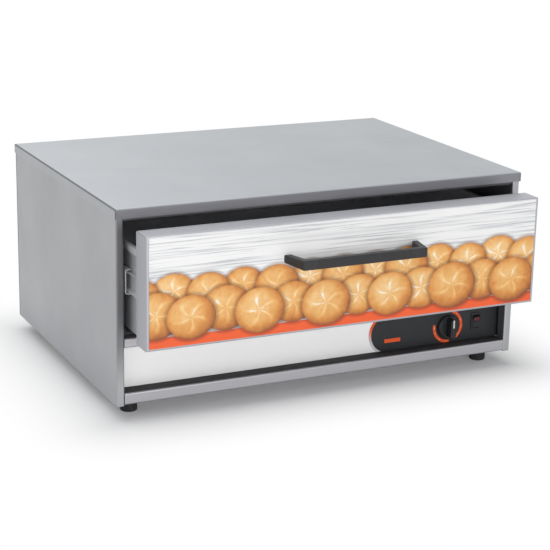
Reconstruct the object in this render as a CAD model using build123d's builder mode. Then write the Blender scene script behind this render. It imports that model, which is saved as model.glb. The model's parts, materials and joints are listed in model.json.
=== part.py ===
from build123d import *
import os
from math import atan2, cos, degrees, radians, sin, sqrt, tan

# Countertop warming drawer. Millimetres, X to the right, Y to the rear, Z up.
# The origin is on the counter, under the middle of the whole object's box, with the drawer
# standing a little open.

# ---- Driving dimensions: cabinet ------------------------------------------------------------
cabinet_width = 660.0      # over the cover
cabinet_depth = 468.0      # over the cover
cabinet_height = 288.5     # lower edge of the sides to the top of the cover
foot_height = 22.0         # below the lower edge of the sides
sheet = 1.2                # steel sheet of the cabinet and of the drawer front
fold = 1.7                 # radius of a fold, on the sheet's middle
seam = 0.1                 # play between sheets that lie on each other
cover_lip = 14.5           # down-turned edge of the cover
corner_gap = 0.5           # open seam where two lips meet
stile_width = 12.0         # front and rear flanges of a side panel
stile_return = 18.0        # how far the stile's inner edge runs back
shell_flange = 20.0        # upper and lower flanges of a side panel
flange_relief = 4.0        # gap between a panel's flanges at its corners

# ---- Front of the cabinet, heights one above the other --------------------------------------
rail_height = 18.5         # bottom rail
recess_height = 67.5       # control recess
divider_height = 14.0      # rail between the recess and the drawer
header_show = 5.5          # header rail, seen below the cover's lip
header_setback = 4.0       # behind the cover's front lip
divider_return = 19.0
panel_setback = 26.0       # control panel, behind the cover's front lip
panel_side_play = 3.5      # control panel to the side panels
panel_flange = 10.0
lap = 10.0                 # how far the rails' inner flanges cover the control panel

# ---- Drawer ---------------------------------------------------------------------------------
drawer_pull = 75.0         # how far the drawer stands open
front_depth = 37.0         # drawer front with its print plate
front_gap_side = 3.2
front_gap_low = 3.5
front_gap_high = 2.5
print_thickness = 0.8
print_margin_side = 4.6
print_margin_low = 3.6
print_margin_high = 1.0
liner_thickness = 1.0
box_wall = 1.0
box_length = 415.0
box_floor_gap = 6.5        # drawer floor above the deck
box_top_gap = 30.0         # drawer front's top edge above the box
box_corner = 8.0
rim_width = 5.2
rim_drop = 9.5

# ---- Handle ---------------------------------------------------------------------------------
handle_reach = 44.0
handle_base = 215.5        # over the two legs, at the drawer front
handle_bar = 197.0         # over the bar's ends
handle_height = 14.0
handle_root_height = 11.5
handle_grip = 10.0         # thickness of the bar and of the legs
handle_rise = 111.5        # middle of the handle above the drawer front's lower edge
handle_screw = 2.0         # screw radius
handle_screw_depth = 8.0

# ---- Telescopic slides ----------------------------------------------------------------------
slide_length = 400.0
slide_setback = 40.0       # front end behind the cover's front lip
slide_rise = 82.5          # middle of the slide above the divider's top
slide_half = 22.75         # half height of the cabinet member
slide_thickness = 12.7
slide_sheet = 1.2
ball_radius = 1.85
ball_play = 0.3            # ball to race
ball_offset = 4.6          # outer ball row from the cabinet member's back
row_step = 3.6             # inner ball row further in
middle_web = 2.9           # middle member's web, on its middle
cage_sheet = 0.5
pocket_play = 0.1          # ball to its pocket
cage_length = 196.0
cage_balls = 4             # in one row
bracket_half = 24.0        # half height of the bracket behind a slide
bracket_foot = 11.0
bracket_length = 360.0

# ---- Controls -------------------------------------------------------------------------------
dial_inset = 102.0         # dial to the cabinet's right side
dial_rise = 26.5           # above the recess's ledge
knob_radius = 18.5
knob_depth = 18.0
knob_gap = 0.8
knob_edge = 1.5            # bevel round the disc
pointer_width = 2.4
pointer_length = 12.5
shaft_radius = 3.0
shaft_play = 0.06
shaft_flat = 1.0
overlay_thickness = 0.5
overlay_length = 242.0     # black control field's left end to the cabinet's right side
overlay_radius = 33.5      # round end of the black control field
overlay_rise = 27.5        # middle of the round end above the recess's ledge
overlay_edge = 0.3
overlay_side_play = 1.0
rocker_inset = 51.0        # rocker switch to the cabinet's right side
rocker_rise = 28.7
rocker_width = 18.0
rocker_height = 28.5
rocker_bezel = 1.5
rocker_body_depth = 20.0
rocker_pivot_depth = 4.5   # pivot behind the bezel's face
rocker_radius = 11.1       # actuator, round its pivot
rocker_half_width = 5.8
rocker_tilt = 6.5          # degrees to each side
rocker_pin = 1.25
pin_play = 0.05

# ---- Heater and what is in the lower compartment --------------------------------------------
tube_radius = 4.0
element_rise = 70.0        # above the lower edge of the sides
element_half = 290.0
element_bend = 40.0
terminal_reach = 20.0      # element's ends in front of the shield
tray_rise = 30.0
shield_inset = 264.0
shield_setback = 110.0
bulb_radius = 3.5
bulb_length = 80.0
capillary_radius = 1.0
bushing_radius = 13.0
bushing_flange = 4.0
bushing_neck = 9.5
bushing_bore = 4.5
bushing_inset = 80.0
bushing_rise = 45.0
foot_inset_x = 34.0
foot_inset_y = 42.0
foot_radius = 12.5

# ---- Places worked out from the sizes above --------------------------------------------------
face_y = (drawer_pull + handle_reach - cabinet_depth + sheet + seam - bushing_flange) / 2
stile_y = face_y + sheet + seam
rear_y = face_y + cabinet_depth - sheet - seam     # rear panel's outer face
flange_y = rear_y - sheet                          # rear flanges, under the rear panel
base_z = foot_height
top_z = base_z + cabinet_height
under_z = top_z - sheet - seam                     # under the cover's plate
shell_half = cabinet_width / 2 - sheet - seam      # side panel's outer face
inner_half = shell_half - sheet
opening_half = shell_half - stile_width
rail_half = opening_half - seam
floor_z = base_z + 2 * sheet                       # top of the bottom pan's floor
ledge_z = base_z + rail_height
divider_low = ledge_z + recess_height
deck_z = divider_low + divider_height
header_low = top_z - cover_lip - header_show
panel_y = face_y + panel_setback
panel_half = inner_half - panel_side_play
dial_x = cabinet_width / 2 - dial_inset
rocker_x = cabinet_width / 2 - rocker_inset
overlay_left = cabinet_width / 2 - overlay_length
bushing_x = cabinet_width / 2 - bushing_inset
shield_x = cabinet_width / 2 - shield_inset

front_y = face_y - drawer_pull                     # print plate's face
pan_y = front_y + print_thickness
pan_back = front_y + front_depth
front_half = opening_half - front_gap_side
front_low = deck_z + front_gap_low
front_high = header_low - front_gap_high
handle_z = front_low + handle_rise
handle_y = front_y - handle_reach
leg_x = (handle_base - handle_grip) / 2

bracket_face = rail_half                           # inner face of a slide bracket
slide_z = deck_z + slide_rise
slide_front = face_y + slide_setback
box_half = bracket_face - slide_thickness
box_low = deck_z + box_floor_gap
box_high = front_high - box_top_gap

dial_z = ledge_z + dial_rise
rocker_z = ledge_z + rocker_rise
overlay_y = panel_y - overlay_thickness

os.makedirs("parts", exist_ok=True)


def facing(y):
    # Upright plane at depth y. Its normal is towards the front, its own x and y are X and Z
    return Plane.XZ.offset(-y)


# Room inside the cover. The panels' upper edges are rounded off to it
with BuildPart() as cover_room:
    with BuildSketch(Plane.XY.offset(base_z)):
        with Locations((0, (stile_y + rear_y) / 2)):
            Rectangle(2 * shell_half, rear_y - stile_y)
    extrude(amount=under_z - base_z)
    fillet(cover_room.faces().sort_by(Axis.Z)[-1].edges(), radius=fold)


rear_screw_inset = 40.0

# ---- Side panels: folded trays with stile, return, rear and lid flanges ----------------------
rear_screw_levels = [base_z + rear_screw_inset, top_z - rear_screw_inset]
rear_screw_x = opening_half + stile_width / 2
screw_radius = 1.9
screw_play = 0.1


def side_panel(side, name):
    with BuildPart() as panel:
        with BuildSketch(Plane.XY.offset(base_z)):
            with BuildLine():
                FilletPolyline(
                    (side * (opening_half + sheet / 2), stile_y + stile_return),
                    (side * (opening_half + sheet / 2), stile_y + sheet / 2),
                    (side * (shell_half - sheet / 2), stile_y + sheet / 2),
                    (side * (shell_half - sheet / 2), flange_y - sheet / 2),
                    (side * opening_half, flange_y - sheet / 2),
                    radius=fold,
                )
            trace(line_width=sheet)
        extrude(amount=under_z - base_z)
        flange_front = stile_y + stile_return + flange_relief
        flange_back = flange_y - flange_relief
        for level in (base_z, under_z - sheet):
            with BuildSketch(Plane.XY.offset(level)):
                with Locations((side * (shell_half - shell_flange / 2), (flange_front + flange_back) / 2)):
                    Rectangle(shell_flange, flange_back - flange_front)
            extrude(amount=sheet)
        with BuildSketch(facing(flange_y)):
            with Locations(*[(side * rear_screw_x, level) for level in rear_screw_levels]):
                Circle(screw_radius + screw_play)
        extrude(amount=2 * sheet, mode=Mode.SUBTRACT)
        add(cover_room.part, mode=Mode.INTERSECT)
    panel.part.label = name
    export_step(panel.part, f"parts/{name}.step")


side_panel(-1, "left_side_panel")
side_panel(1, "right_side_panel")

# ---- Rear panel -----------------------------------------------------------------------------
cover_screw_x = [-cabinet_width / 3, cabinet_width / 3]
cover_screw_z = top_z - cover_lip / 2
bushing_z = base_z + bushing_rise
vent_length = 40.0
vent_height = 4.0

with BuildPart() as rear_panel:
    with BuildSketch(facing(rear_y)):
        with Locations((0, (base_z + under_z) / 2)):
            Rectangle(2 * shell_half, under_z - base_z)
        with Locations((bushing_x, bushing_z)):
            Circle(bushing_neck + seam, mode=Mode.SUBTRACT)
        with Locations(*[(side * rear_screw_x, level) for side in (-1, 1) for level in rear_screw_levels]):
            Circle(screw_radius + screw_play, mode=Mode.SUBTRACT)
        with Locations(*[(x, cover_screw_z) for x in cover_screw_x]):
            Circle(screw_radius + screw_play, mode=Mode.SUBTRACT)
        with Locations((-bushing_x / 2, bushing_z)):
            with GridLocations(vent_length * 1.5, vent_height * 3, 3, 2):
                SlotOverall(vent_length, vent_height, mode=Mode.SUBTRACT)
    extrude(amount=sheet)
    # Upper flange, turned forward under the cover
    with BuildSketch(Plane.XY.offset(under_z - sheet)):
        with Locations((0, rear_y - shell_flange / 2)):
            Rectangle(2 * (shell_half - shell_flange - flange_relief), shell_flange)
    extrude(amount=sheet)
    add(cover_room.part, mode=Mode.INTERSECT)
rear_panel.part.label = "rear_panel"
export_step(rear_panel.part, "parts/rear_panel.step")

# ---- Cover ----------------------------------------------------------------------------------
middle_y = face_y + cabinet_depth / 2

with BuildPart() as top_cover:
    with BuildSketch(Plane.XY.offset(top_z - cover_lip)):
        with Locations((0, middle_y)):
            Rectangle(cabinet_width, cabinet_depth)
    extrude(amount=cover_lip)
    fillet(top_cover.faces().sort_by(Axis.Z)[-1].edges(), radius=fold + sheet / 2)
    offset(amount=-sheet, openings=top_cover.faces().sort_by(Axis.Z)[0])
    # Open seams beside the ends of the front and rear lips
    with BuildSketch(Plane.XY.offset(top_z - cover_lip)):
        with Locations((0, middle_y)):
            with GridLocations(cabinet_width - 2 * sheet - corner_gap, cabinet_depth - sheet, 2, 2):
                Rectangle(corner_gap, sheet * 1.5)
    extrude(amount=cover_lip - fold - sheet, mode=Mode.SUBTRACT)
    with BuildSketch(facing(face_y + cabinet_depth)):
        with Locations(*[(x, cover_screw_z) for x in cover_screw_x]):
            Circle(screw_radius + screw_play)
    extrude(amount=2 * sheet, mode=Mode.SUBTRACT)
top_cover.part.label = "top_cover"
export_step(top_cover.part, "parts/top_cover.step")

# ---- Header rail, a channel under the cover's front edge -------------------------------------
header_y = face_y + header_setback
header_back = stile_y + stile_return + flange_relief - seam

with BuildPart() as header_rail:
    with BuildSketch(Plane.YZ):
        with BuildLine():
            FilletPolyline(
                (header_back, header_low + sheet / 2),
                (header_y + sheet / 2, header_low + sheet / 2),
                (header_y + sheet / 2, under_z - sheet / 2),
                (header_back, under_z - sheet / 2),
                radius=fold,
            )
        trace(line_width=sheet)
    extrude(amount=rail_half, both=True)
header_rail.part.label = "header_rail"
export_step(header_rail.part, "parts/header_rail.step")

# ---- Divider rail between the drawer and the control recess ----------------------------------
with BuildPart() as divider_rail:
    with BuildSketch(Plane.YZ):
        with BuildLine():
            FilletPolyline(
                (stile_y + divider_return, deck_z - sheet / 2),
                (stile_y + sheet / 2, deck_z - sheet / 2),
                (stile_y + sheet / 2, divider_low + sheet / 2),
                (panel_y - sheet / 2, divider_low + sheet / 2),
                (panel_y - sheet / 2, divider_low + lap),
                radius=fold,
            )
        trace(line_width=sheet)
    extrude(amount=rail_half, both=True)
divider_rail.part.label = "divider_rail"
export_step(divider_rail.part, "parts/divider_rail.step")

# ---- Bottom pan: floor, bottom rail, ledge and rear flange in one folded sheet ---------------
foot_x = cabinet_width / 2 - foot_inset_x
foot_places = [
    (side * foot_x, y)
    for y in (face_y + foot_inset_y, face_y + cabinet_depth - foot_inset_y)
    for side in (-1, 1)
]
foot_screw = 2.5

with BuildPart() as bottom_pan:
    with BuildSketch(Plane.YZ):
        with BuildLine():
            FilletPolyline(
                (panel_y - sheet / 2, ledge_z - lap),
                (panel_y - sheet / 2, ledge_z - sheet / 2),
                (stile_y + sheet / 2, ledge_z - sheet / 2),
                (stile_y + sheet / 2, floor_z - sheet / 2),
                (flange_y - sheet / 2, floor_z - sheet / 2),
                (flange_y - sheet / 2, floor_z + lap),
                radius=fold,
            )
        trace(line_width=sheet)
    extrude(amount=rail_half, both=True)
    with BuildSketch(Plane.XY.offset(floor_z)):
        with Locations(*foot_places):
            Circle(foot_screw + screw_play)
    extrude(amount=-2 * sheet, mode=Mode.SUBTRACT)
bottom_pan.part.label = "bottom_pan"
export_step(bottom_pan.part, "parts/bottom_pan.step")

# ---- Deck under the drawer, with slots that let the heat up ----------------------------------
deck_front = stile_y + divider_return + seam
deck_back = flange_y - sheet - fold
deck_half = inner_half - 0.3
deck_flange = 12.0
slot_length = 110.0
slot_width = 6.0

with BuildPart() as drawer_deck:
    with BuildSketch(facing(deck_back)):
        with BuildLine():
            FilletPolyline(
                (-deck_half + sheet / 2, deck_z - deck_flange),
                (-deck_half + sheet / 2, deck_z - sheet / 2),
                (deck_half - sheet / 2, deck_z - sheet / 2),
                (deck_half - sheet / 2, deck_z - deck_flange),
                radius=fold,
            )
        trace(line_width=sheet)
    extrude(amount=deck_back - deck_front)
    with BuildSketch(Plane.XY.offset(deck_z)):
        with Locations((0, (deck_front + deck_back) / 2)):
            with GridLocations(slot_length * 1.25, cabinet_depth / 4, 4, 2):
                SlotOverall(slot_length, slot_width)
    extrude(amount=-2 * sheet, mode=Mode.SUBTRACT)
drawer_deck.part.label = "drawer_deck"
export_step(drawer_deck.part, "parts/drawer_deck.step")

# ---- Control panel with its black field ------------------------------------------------------
rocker_body_half_x = rocker_half_width + 1.45
rocker_body_half_z = rocker_radius + 1.6

with BuildPart() as control_panel:
    with BuildSketch(Plane.XY.offset(ledge_z - lap)):
        with BuildLine():
            FilletPolyline(
                (-panel_half + sheet / 2, panel_y + panel_flange),
                (-panel_half + sheet / 2, panel_y + sheet / 2),
                (panel_half - sheet / 2, panel_y + sheet / 2),
                (panel_half - sheet / 2, panel_y + panel_flange),
                radius=fold,
            )
        trace(line_width=sheet)
    extrude(amount=recess_height + 2 * lap)
    with BuildSketch(facing(panel_y + sheet)):
        with Locations((dial_x, dial_z)):
            Circle(shaft_radius + 2)
        with Locations((rocker_x, rocker_z)):
            Rectangle(2 * (rocker_body_half_x + seam), 2 * (rocker_body_half_z + seam))
    extrude(amount=2 * sheet, mode=Mode.SUBTRACT)
control_panel.part.label = "control_panel"
export_step(control_panel.part, "parts/control_panel.step")

overlay_low = ledge_z + overlay_edge
overlay_right = panel_half - overlay_side_play
overlay_centre = overlay_left + overlay_radius
overlay_z = ledge_z + overlay_rise
overlay_high = overlay_z + overlay_radius

with BuildPart() as control_overlay:
    with BuildSketch(facing(panel_y)):
        with Locations((overlay_centre, overlay_z)):
            Circle(overlay_radius)
        with Locations(((overlay_centre + overlay_right) / 2, overlay_z)):
            Rectangle(overlay_right - overlay_centre, 2 * overlay_radius)
        with Locations(((overlay_left + overlay_right) / 2, (overlay_low + overlay_high) / 2)):
            Rectangle(overlay_right - overlay_left, overlay_high - overlay_low, mode=Mode.INTERSECT)
        with Locations((dial_x, dial_z)):
            Circle(shaft_radius + 2, mode=Mode.SUBTRACT)
        with Locations((rocker_x, rocker_z)):
            Rectangle(2 * (rocker_body_half_x + seam), 2 * (rocker_body_half_z + seam), mode=Mode.SUBTRACT)
    extrude(amount=overlay_thickness)
control_overlay.part.label = "control_overlay"
export_step(control_overlay.part, "parts/control_overlay.step")

# ---- Knob, its pointer inlay and the thermostat ----------------------------------------------
knob_back = overlay_y - knob_gap
knob_face = knob_back - knob_depth
knob_skirt = 5.0
grip_reach = knob_radius - 2.3
grip_half = 5.6
grip_draft = 0.8
grip_edge = 0.6
pointer_depth = 0.6
pointer_z = dial_z + grip_reach - grip_draft - 1.0 - pointer_length / 2
shaft_front = knob_face + 5
thermostat_y = panel_y + sheet
thermostat_plate = 1.5
thermostat_depth = 22.0
thermostat_size = 38.0
shaft_back = thermostat_y + thermostat_plate + 10

with BuildPart() as knob:
    with BuildSketch(facing(knob_back)):
        with Locations((dial_x, dial_z)):
            Circle(knob_radius)
    extrude(amount=knob_skirt)
    chamfer(knob.faces().sort_by(Axis.Y)[0].edges(), length=knob_edge)
    # Upright grip across the disc, a little narrower in front
    with BuildSketch(facing(knob_back - knob_skirt)):
        with Locations((dial_x, dial_z)):
            SlotOverall(2 * grip_reach, 2 * grip_half, rotation=90)
    with BuildSketch(facing(knob_face)):
        with Locations((dial_x, dial_z)):
            SlotOverall(2 * (grip_reach - grip_draft), 2 * (grip_half - grip_draft), rotation=90)
    loft()
    chamfer(knob.faces().sort_by(Axis.Y)[0].edges(), length=grip_edge)
    with BuildSketch(facing(knob_back)):
        with Locations((dial_x, dial_z)):
            Circle(shaft_radius + shaft_play)
    extrude(amount=knob_back - shaft_front + shaft_play, mode=Mode.SUBTRACT)
    with BuildSketch(facing(knob_face)):
        with Locations((dial_x, pointer_z)):
            Rectangle(pointer_width, pointer_length)
    extrude(amount=-pointer_depth, mode=Mode.SUBTRACT)
knob.part.label = "knob"
export_step(knob.part, "parts/knob.step")

with BuildPart() as knob_pointer:
    with BuildSketch(facing(knob_face + pointer_depth)):
        with Locations((dial_x, pointer_z)):
            Rectangle(pointer_width, pointer_length)
    extrude(amount=pointer_depth)
knob_pointer.part.label = "knob_pointer"
export_step(knob_pointer.part, "parts/knob_pointer.step")

with BuildPart() as thermostat_shaft:
    with BuildSketch(facing(shaft_back)):
        with Locations((dial_x, dial_z)):
            Circle(shaft_radius)
    extrude(amount=shaft_back - shaft_front)
    # Flat that the knob's boss grips
    with BuildSketch(facing(shaft_front)):
        with Locations((dial_x, dial_z + 2 * shaft_radius - shaft_flat)):
            Rectangle(2 * shaft_radius, 2 * shaft_radius)
    extrude(amount=-knob_depth / 2, mode=Mode.SUBTRACT)
thermostat_shaft.part.label = "thermostat_shaft"
export_step(thermostat_shaft.part, "parts/thermostat_shaft.step")

with BuildPart() as thermostat_body:
    with BuildSketch(facing(thermostat_y + thermostat_plate)):
        with Locations((dial_x, dial_z)):
            SlotOverall(thermostat_size * 1.4, thermostat_size * 0.6)
    extrude(amount=thermostat_plate)
    with BuildSketch(facing(thermostat_y + thermostat_plate + thermostat_depth)):
        with Locations((dial_x, dial_z)):
            RectangleRounded(thermostat_size, thermostat_size, 3)
    extrude(amount=thermostat_depth)
    # Two flat terminals at the rear
    with BuildSketch(facing(thermostat_y + thermostat_plate + thermostat_depth)):
        with Locations((dial_x, dial_z)):
            with GridLocations(thermostat_size * 0.6, 0, 2, 1):
                Rectangle(0.8, 6.3)
    extrude(amount=-8)
    with BuildSketch(facing(thermostat_y)):
        with Locations((dial_x, dial_z)):
            Circle(shaft_radius + shaft_play)
    extrude(amount=thermostat_y - shaft_back - 1, mode=Mode.SUBTRACT)
thermostat_body.part.label = "thermostat_body"
export_step(thermostat_body.part, "parts/thermostat_body.step")

# Sensing bulb under the deck, its capillary tube and the clips that hold the bulb
bulb_y = face_y + shield_setback + 30
clip_sheet = 1.0
bulb_z = deck_z - sheet - bulb_radius - seam - clip_sheet
bulb_x = dial_x - 2 * thermostat_size
capillary_x = dial_x - thermostat_size / 4
capillary_y = thermostat_y + thermostat_plate + thermostat_depth / 2
capillary_start = dial_z + thermostat_size / 2

with BuildPart() as capillary_tube:
    with BuildLine():
        FilletPolyline(
            (capillary_x, capillary_y, capillary_start),
            (capillary_x, capillary_y, bulb_z),
            (capillary_x, bulb_y, bulb_z),
            (bulb_x, bulb_y, bulb_z),
            radius=8 * capillary_radius,
        )
    with BuildSketch(Plane.XY.offset(capillary_start)):
        with Locations((capillary_x, capillary_y)):
            RegularPolygon(capillary_radius, 8)
    sweep()
capillary_tube.part.label = "capillary_tube"
export_step(capillary_tube.part, "parts/capillary_tube.step")

with BuildPart() as thermostat_bulb:
    with BuildSketch(Plane.YZ.offset(bulb_x)):
        with Locations((bulb_y, bulb_z)):
            Circle(bulb_radius)
    extrude(amount=-bulb_length)
    chamfer(thermostat_bulb.edges().filter_by(GeomType.CIRCLE), length=1)
thermostat_bulb.part.label = "thermostat_bulb"
export_step(thermostat_bulb.part, "parts/thermostat_bulb.step")

clip_tab = 8.0
clip_width = 8.0
clip_top = deck_z - sheet

with BuildPart() as bulb_clips:
    for clip_x in (bulb_x - bulb_length * 0.25, bulb_x - bulb_length * 0.75):
        with BuildSketch(Plane.YZ.offset(clip_x - clip_width / 2)):
            with Locations((bulb_y, bulb_z)):
                Circle(bulb_radius + seam + clip_sheet)
            with Locations((bulb_y, (bulb_z + clip_top) / 2)):
                Rectangle(2 * (bulb_radius + seam + clip_sheet), clip_top - bulb_z)
            with Locations((bulb_y, clip_top - clip_sheet / 2)):
                Rectangle(2 * (bulb_radius + clip_sheet + clip_tab), clip_sheet)
            with Locations((bulb_y, bulb_z)):
                Circle(bulb_radius + seam, mode=Mode.SUBTRACT)
            with Locations((bulb_y, (bulb_z + clip_top) / 2)):
                Rectangle(2 * (bulb_radius + seam), clip_top - bulb_z, mode=Mode.SUBTRACT)
        extrude(amount=clip_width)
bulb_clips.part.label = "bulb_clips"
export_step(bulb_clips.part, "parts/bulb_clips.step")

# ---- Rocker switch ---------------------------------------------------------------------------
bezel_face = overlay_y - rocker_bezel
pivot_y = bezel_face + rocker_pivot_depth
cavity_half_x = rocker_half_width + 0.25
pin_reach = 0.9

with BuildPart() as rocker_housing:
    with BuildSketch(facing(overlay_y)):
        with Locations((rocker_x, rocker_z)):
            RectangleRounded(rocker_width, rocker_height, 2)
    extrude(amount=rocker_bezel)
    with BuildSketch(facing(overlay_y + rocker_body_depth)):
        with Locations((rocker_x, rocker_z)):
            Rectangle(2 * rocker_body_half_x, 2 * rocker_body_half_z)
    extrude(amount=rocker_body_depth)
    with BuildSketch(facing(bezel_face)):
        with Locations((rocker_x, rocker_z)):
            Rectangle(2 * cavity_half_x, 2 * (rocker_radius - 0.15))
    extrude(amount=-rocker_bezel, mode=Mode.SUBTRACT)
    with BuildSketch(facing(overlay_y)):
        with Locations((rocker_x, rocker_z)):
            Rectangle(2 * cavity_half_x, 2 * (rocker_radius + 0.3))
    extrude(amount=-rocker_body_depth * 0.75, mode=Mode.SUBTRACT)
    with BuildSketch(Plane.YZ.offset(rocker_x)):
        with Locations((pivot_y, rocker_z)):
            Circle(rocker_pin + pin_play)
    extrude(amount=cavity_half_x + pin_reach, both=True, mode=Mode.SUBTRACT)
    with BuildSketch(facing(overlay_y + rocker_body_depth)):
        with Locations((rocker_x, rocker_z)):
            with GridLocations(0, rocker_body_half_z, 1, 2):
                Rectangle(0.8, 4.8)
    extrude(amount=-8)
rocker_housing.part.label = "rocker_housing"
export_step(rocker_housing.part, "parts/rocker_housing.step")

tip_angle = 35.0                                   # actuator's tips, seen from its pivot
tip_y = rocker_radius * sin(radians(tip_angle))
tip_z = rocker_radius * cos(radians(tip_angle))
lens_depth = 1.0
lens_inset = 1.3
lens_slope = (tip_y - rocker_pivot_depth) / tip_z
lens_low = (-rocker_pivot_depth - lens_slope * lens_inset, lens_inset)
lens_high = (-tip_y + lens_slope * lens_inset, tip_z - lens_inset)
lens_outline = [
    lens_low,
    lens_high,
    (lens_high[0] + lens_depth, lens_high[1]),
    (lens_low[0] + lens_depth, lens_low[1]),
]

rocker_plane = Plane(
    origin=(rocker_x, pivot_y, rocker_z),
    x_dir=(0, cos(radians(rocker_tilt)), sin(radians(rocker_tilt))),
    z_dir=(1, 0, 0),
)

with BuildPart() as rocker_actuator:
    with BuildSketch(rocker_plane):
        Circle(rocker_radius)
        with BuildLine():
            Polyline(
                (-tip_y, -tip_z),
                (-rocker_pivot_depth, 0),
                (-tip_y, tip_z),
                (2, rocker_radius),
                (2, -rocker_radius),
                (-tip_y, -tip_z),
            )
        make_face(mode=Mode.INTERSECT)
    extrude(amount=rocker_half_width, both=True)
    with BuildSketch(rocker_plane):
        Circle(rocker_pin)
    extrude(amount=cavity_half_x + pin_reach - 0.1, both=True)
    # Bed of the signal lens in the upper half of the face
    with BuildSketch(rocker_plane):
        with BuildLine():
            Polyline(*lens_outline, close=True)
        make_face()
    extrude(amount=rocker_half_width - lens_inset, both=True, mode=Mode.SUBTRACT)
rocker_actuator.part.label = "rocker_actuator"
export_step(rocker_actuator.part, "parts/rocker_actuator.step")

with BuildPart() as rocker_lens:
    with BuildSketch(rocker_plane):
        with BuildLine():
            Polyline(*lens_outline, close=True)
        make_face()
    extrude(amount=rocker_half_width - lens_inset, both=True)
rocker_lens.part.label = "rocker_lens"
export_step(rocker_lens.part, "parts/rocker_lens.step")

# ---- Heating element, its brackets and the reflector tray ------------------------------------
element_z = base_z + element_rise
element_front = face_y + shield_setback - terminal_reach
element_near = face_y + shield_setback + 2 * element_bend
element_far = face_y + cabinet_depth - 50
element_inner = element_half - 1.5 * element_bend
terminal_radius = 1.5

with BuildPart() as heating_element:
    with BuildLine():
        FilletPolyline(
            (element_half, element_front, element_z),
            (element_half, element_far, element_z),
            (-element_half, element_far, element_z),
            (-element_half, element_near, element_z),
            (element_inner, element_near, element_z),
            (element_inner, element_front, element_z),
            radius=element_bend,
        )
    with BuildSketch(facing(element_front)):
        with Locations((element_half, element_z)):
            RegularPolygon(tube_radius, 12)
    sweep()
    with BuildSketch(facing(element_front)):
        with Locations((element_half, element_z), (element_inner, element_z)):
            Circle(terminal_radius)
    extrude(amount=12)
heating_element.part.label = "heating_element"
export_step(heating_element.part, "parts/heating_element.step")

tray_top = base_z + tray_rise
tray_front = face_y + shield_setback + 8
tray_back = flange_y - 15
tray_half = rail_half - 6

with BuildPart() as reflector_tray:
    with BuildSketch(Plane.XY.offset(floor_z)):
        with Locations((0, (tray_front + tray_back) / 2)):
            Rectangle(2 * tray_half, tray_back - tray_front)
    extrude(amount=tray_top - floor_z)
    fillet(reflector_tray.faces().sort_by(Axis.Z)[-1].edges(), radius=fold + sheet / 2)
    offset(amount=-sheet, openings=reflector_tray.faces().sort_by(Axis.Z)[0])
reflector_tray.part.label = "reflector_tray"
export_step(reflector_tray.part, "parts/reflector_tray.step")

bracket_width = 18.0
bracket_over = 5.0
bracket_places = [
    (-element_half * 0.5, element_far),
    (element_half * 0.5, element_far),
    (-element_half * 0.5, element_near),
    (element_half * 0.3, element_near),
]

with BuildPart() as element_brackets:
    for x, y in bracket_places:
        with BuildSketch(Plane.YZ.offset(x)):
            with Locations((y, (tray_top + element_z) / 2)):
                Rectangle(bracket_width, element_z - tray_top)
            with Locations((y, element_z)):
                Circle(tube_radius + bracket_over)
                Circle(tube_radius + screw_play, mode=Mode.SUBTRACT)
        extrude(amount=sheet)
        with BuildSketch(Plane.XY.offset(tray_top)):
            with Locations((x + bracket_width / 2, y)):
                Rectangle(bracket_width, bracket_width)
        extrude(amount=sheet)
element_brackets.part.label = "element_brackets"
export_step(element_brackets.part, "parts/element_brackets.step")

# ---- Shield round the control compartment ----------------------------------------------------
with BuildPart() as control_shield:
    with BuildSketch(Plane.XY.offset(floor_z)):
        with BuildLine():
            FilletPolyline(
                (shield_x, panel_y + sheet + seam),
                (shield_x, face_y + shield_setback),
                (inner_half - seam, face_y + shield_setback),
                radius=fold,
            )
        trace(line_width=sheet)
    extrude(amount=divider_low - floor_z)
    with BuildSketch(facing(face_y + shield_setback + sheet)):
        with Locations((element_half, element_z), (element_inner, element_z)):
            Circle(tube_radius + 3 * seam)
    extrude(amount=2 * sheet, mode=Mode.SUBTRACT)
control_shield.part.label = "control_shield"
export_step(control_shield.part, "parts/control_shield.step")

# ---- Terminal block --------------------------------------------------------------------------
block_length = 52.0
block_width = 20.0
block_height = 16.0
block_x = shield_x + block_length
block_y = face_y + shield_setback - 35

with BuildPart() as terminal_block:
    with BuildSketch(Plane.XY.offset(floor_z)):
        with Locations((block_x, block_y)):
            Rectangle(block_length, block_width)
    extrude(amount=block_height)
    with BuildSketch(Plane.XY.offset(floor_z + block_height)):
        with Locations((block_x, block_y)):
            with GridLocations(block_length / 4, block_width * 0.45, 4, 2):
                Rectangle(block_length / 8, block_width / 4)
    extrude(amount=-block_height / 2, mode=Mode.SUBTRACT)
terminal_block.part.label = "terminal_block"
export_step(terminal_block.part, "parts/terminal_block.step")

# ---- Cord bushing in the rear panel ----------------------------------------------------------
bushing_snap = 2.5
bushing_edge = 1.5

with BuildPart() as cord_bushing:
    with BuildSketch(facing(rear_y + bushing_flange)):
        with Locations((bushing_x, bushing_z)):
            Circle(bushing_radius)
    extrude(amount=bushing_flange)
    chamfer(cord_bushing.faces().sort_by(Axis.Y)[-1].edges(), length=bushing_edge)
    with BuildSketch(facing(rear_y)):
        with Locations((bushing_x, bushing_z)):
            Circle(bushing_neck)
    extrude(amount=sheet)
    with BuildSketch(facing(rear_y - sheet)):
        with Locations((bushing_x, bushing_z)):
            Circle(bushing_neck + 1.5)
    extrude(amount=bushing_snap)
    with BuildSketch(facing(rear_y + bushing_flange)):
        with Locations((bushing_x, bushing_z)):
            Circle(bushing_bore)
    extrude(amount=bushing_flange + sheet + bushing_snap, mode=Mode.SUBTRACT)
cord_bushing.part.label = "cord_bushing"
export_step(cord_bushing.part, "parts/cord_bushing.step")

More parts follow.
